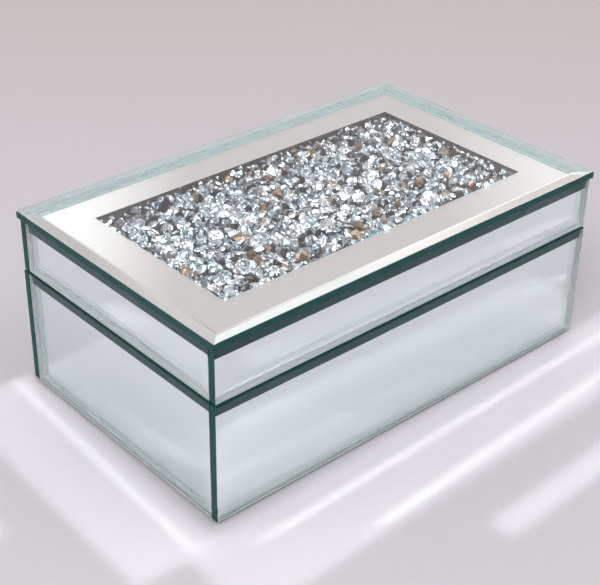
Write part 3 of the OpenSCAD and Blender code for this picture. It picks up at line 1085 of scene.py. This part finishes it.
@dataclass
class Glazing:
    """All nine panes of the box."""

    border: float = 27.2 * MM
    top_bevel: float = 8.2 * MM
    top_drop: float = 1.4 * MM
    # Depth of the band of painted dark shade along the top of each side pane.
    shade_band_width: float = 6.4 * MM
    notch_depth: float = 1.0 * MM
    notch_play: float = 0.2 * MM

    def leaf_notches(self, node: str) -> tuple[tuple[Vector, Vector], ...]:
        """Cuts that let the hinge leaves through a back pane.

        Args:
            node: The back pane's node.

        Returns:
            Corners of one box for each hinge.
        """
        leaf = "upper_leaf" if node.startswith("lid") else "lower_leaf"
        low, high = node_box(node)
        cuts = []
        for side in ("left", "right"):
            leaf_low, leaf_high = node_box(f"{side}_hinge_{leaf}")
            x_low, x_high = leaf_low.x - self.notch_play, leaf_high.x + self.notch_play
            seam = high.z if leaf == "lower_leaf" else low.z
            cuts.append((Vector((x_low, low.y - MM, seam - self.notch_depth)),
                         Vector((x_high, high.y + MM, seam + self.notch_depth))))
        return tuple(cuts)

    def build(self) -> None:
        """Makes every pane."""
        materials = [
            GlassFinish().build(),
            SilverFinish().build(),
            EdgeFinish().build(),
            # Painted shade: a dark strip behind the top of each side pane, and that pane's top bevel in
            # dark matt.
            MattFinish("painted_shade_band", (0.002, 0.060, 0.052), (0.008, 0.120, 0.107), 0.5,
                       scale=60.0, bump=0.05, specular=0.0).build(),
            # Painted shade on the top bevel: dark, matt and without shine.
            MattFinish("painted_shade_bevel", (0.005, 0.036, 0.031), (0.012, 0.058, 0.051), 0.25,
                       scale=60.0, bump=0.05, specular=0.0).build(),
            GlassFinish("window_glass", shine=(0.30, 0.30, 0.31)).build(),
        ]
        for body, level in (("box", "body"), ("lid", "lid")):
            for facing in (Facing.FRONT, Facing.BACK, Facing.LEFT, Facing.RIGHT):
                node = f"{level}_{facing.name.lower()}_glass"
                notches = self.leaf_notches(node) if facing is Facing.BACK else ()
                MirrorPane(node, body, facing, shade_band_width=self.shade_band_width,
                           notches=notches).build(materials)
        MirrorPane("top_glass", "lid", Facing.UP, "window_pane", self.top_bevel, self.top_drop,
                   window_border=self.border).build(materials)


@dataclass(frozen=True)
class VelvetFinish:
    """Short-pile velvet: soft brushed patches, a bright sheen and a fine pile."""

    name: str = "velvet"
    low: Colour = (0.010, 0.010, 0.013)
    high: Colour = (0.034, 0.033, 0.041)
    sheen: float = 0.9

    def build(self) -> bpy.types.Material:
        """Makes the material."""
        shader = Shader(self.name)
        shader.set(Roughness=0.92, Sheen_Weight=self.sheen, Sheen_Roughness=0.35,
                   Sheen_Tint=(0.62, 0.62, 0.70))
        brushed = shader.group(Groups.grain(), Low=self.low, High=self.high, Scale=26.0, Detail=3.0,
                               Stretch=(1.0, 1.0, 2.2))
        pile = shader.group(Groups.grain(), Scale=2600.0, Detail=2.0, Stretch=(1.0, 1.0, 0.6))
        shader.link(brushed.outputs["Colour"], shader.bsdf.inputs["Base Color"])
        shader.bump(pile.outputs["Height"], strength=0.7, distance=0.0003)
        return shader.material


@dataclass
class SoftPanel:
    """A velvet or felt card: its show face swells a little and its edges roll over.

    Attributes:
        shoulder: How far in from an edge it keeps rising.
        ripple: Height of its waves, as a share of the swell.
        slack: Gap left at each side of it, in millimetres.
    """

    node: str
    body: str
    facing: Vector
    slot: str = "velvet"
    roll: float = 0.55 * MM
    swell: float = 0.28 * MM
    shoulder: float = 12.0 * MM
    ripple: float = 0.25
    ripple_scale: float = 60.0
    slack: float = 0.02
    pitch: float = 6.0 * MM
    fill: float = 0.4

    def build(self, finish: bpy.types.Material) -> bpy.types.Object:
        """Makes the panel in place of its CAD node.

        Args:
            finish: Velvet or felt.

        Returns:
            The finished panel.
        """
        low, high = node_box(self.node)
        shrink = Vector(1.0 if abs(c) < 0.5 else 0.0 for c in self.facing) * self.slack * MM
        bm = box_mesh(low + shrink, high - shrink)
        self.divide(bm, low, high)
        show = high.dot(self.facing) if sum(self.facing) > 0 else low.dot(self.facing)
        noise_seed = Vector((3.1, 1.7, 5.3))
        for vert in bm.verts:
            inset = min(self.edge_distance(vert.co, low, high), self.shoulder)
            if abs(vert.co.dot(self.facing) - show) < 1e-6:
                share = math.sin(math.pi / 2 * inset / self.shoulder)
                ripple = self.ripple * noise.noise(vert.co * self.ripple_scale + noise_seed)
                sunk = self.swell * (1.0 - share) + self.swell * max(ripple, 0.0)
                vert.co -= self.facing * sunk
        round_edges(bm, self.roll, segments=3, least_angle=math.radians(60))
        bmesh.ops.recalc_face_normals(bm, faces=bm.faces)
        obj = finish_mesh(f"{self.node}_panel", bm, [finish], smooth=True)
        place_piece(obj, self.body, self.slot, self.node)
        return obj

    def divide(self, bm: bmesh.types.BMesh, low: Vector, high: Vector) -> None:
        """Cuts the card into a grid, so that its face can swell.

        Args:
            bm: The card, changed in place.
            low: Its lowest corner.
            high: Its highest corner.
        """
        for axis in range(3):
            if abs(self.facing[axis]) > 0.5:
                continue
            steps = max(int((high[axis] - low[axis]) / self.pitch), 2)
            normal = Vector(1.0 if i == axis else 0.0 for i in range(3))
            for step in range(1, steps):
                point = normal * (low[axis] + (high[axis] - low[axis]) * step / steps)
                bmesh.ops.bisect_plane(bm, geom=[*bm.verts, *bm.edges, *bm.faces],
                                       plane_co=point, plane_no=normal)

    def edge_distance(self, point: Vector, low: Vector, high: Vector) -> float:
        """Distance of a point from the card's nearest side edge.

        Args:
            point: The point.
            low: The card's lowest corner.
            high: Its highest corner.

        Returns:
            The distance, in metres.
        """
        return min(min(point[i] - low[i], high[i] - point[i])
                   for i in range(3) if abs(self.facing[i]) < 0.5)


@dataclass
class SoftGoods:
    """Velvet linings and the felt under the base."""

    def build(self) -> None:
        """Makes every soft panel."""
        velvet = VelvetFinish().build()
        felt = MattFinish("needle_felt", (0.006, 0.006, 0.006), (0.030, 0.030, 0.031), 0.95,
                          scale=1500.0, bump=0.8, depth=0.0004, sheen=0.3).build()
        down = (0, 0, -1)
        for side, body, facing in (
            ("floor", "box", (0, 0, 1)), ("front", "box", (0, 1, 0)), ("back", "box", (0, -1, 0)),
            ("left", "box", (1, 0, 0)), ("right", "box", (-1, 0, 0)), ("lid", "lid", down),
        ):
            SoftPanel(f"{side}_lining", body, Vector(facing)).build(velvet)
        SoftPanel("base_felt", "box", Vector(down), "felt", roll=0.25 * MM, swell=0.0).build(felt)


@dataclass
class Carcass:
    """Boards, rails, tray and bumpers, which keep their CAD shapes."""

    def build(self) -> None:
        """Gives each carried-over node its finish."""
        board = MattFinish("painted_board", (0.010, 0.010, 0.011), (0.022, 0.021, 0.021), 0.55).build()
        tray = MattFinish("tray_film", (0.030, 0.026, 0.022), (0.075, 0.068, 0.060), 0.32,
                          scale=220.0, bump=0.1).build()
        silicone = MattFinish("silicone", (0.62, 0.64, 0.64), (0.74, 0.76, 0.76), 0.25,
                              scale=120.0, bump=0.05).build()
        for name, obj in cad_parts.items():
            if name.endswith(("_board", "_rail")):
                refinish(obj, board)
            elif name.startswith("tray_"):
                refinish(obj, tray)
            elif name == "bumper_dots":
                refinish(obj, silicone)


@dataclass
class Hinges:
    """Two nickel-plated stop hinges, which keep their CAD shapes."""

    def build(self) -> None:
        """Gives the leaves, pins and screws their finishes."""
        nickel = MetalFinish("nickel", (0.74, 0.73, 0.71), (0.66, 0.65, 0.63)).build()
        wire = MetalFinish("drawn_wire", (0.62, 0.62, 0.62), (0.54, 0.54, 0.54), 0.22, 0.40).build()
        for name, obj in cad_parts.items():
            if name.endswith(("_leaf", "_screws")):
                refinish(obj, nickel)
            elif name.endswith("_pin"):
                refinish(obj, wire)


def main() -> None:
    """Builds the studio and then the box, part by part."""
    logging.basicConfig(level=logging.INFO, format="%(message)s")
    Studio().build()
    Glazing().build()
    Carcass().build()
    SoftGoods().build()
    Hinges().build()
    CrystalTray().build({
        Tone.SILVER: CrystalFinish("crystal_silver", (0.80, 0.88, 0.92), (1.0, 1.0, 1.0)).build(),
        Tone.ICE: CrystalFinish("crystal_ice", (0.50, 0.62, 0.68), (0.90, 0.96, 1.0)).build(),
        Tone.SMOKE: CrystalFinish("crystal_smoke", (0.18, 0.22, 0.23), (0.58, 0.66, 0.69)).build(),
        Tone.AMBER: CrystalFinish("crystal_amber", (0.24, 0.165, 0.10), (0.60, 0.45, 0.31), roughness=0.28,
                                  facet_scale=240.0, facet_depth=0.05).build(),
    })


if __name__ == "__main__":
    main()
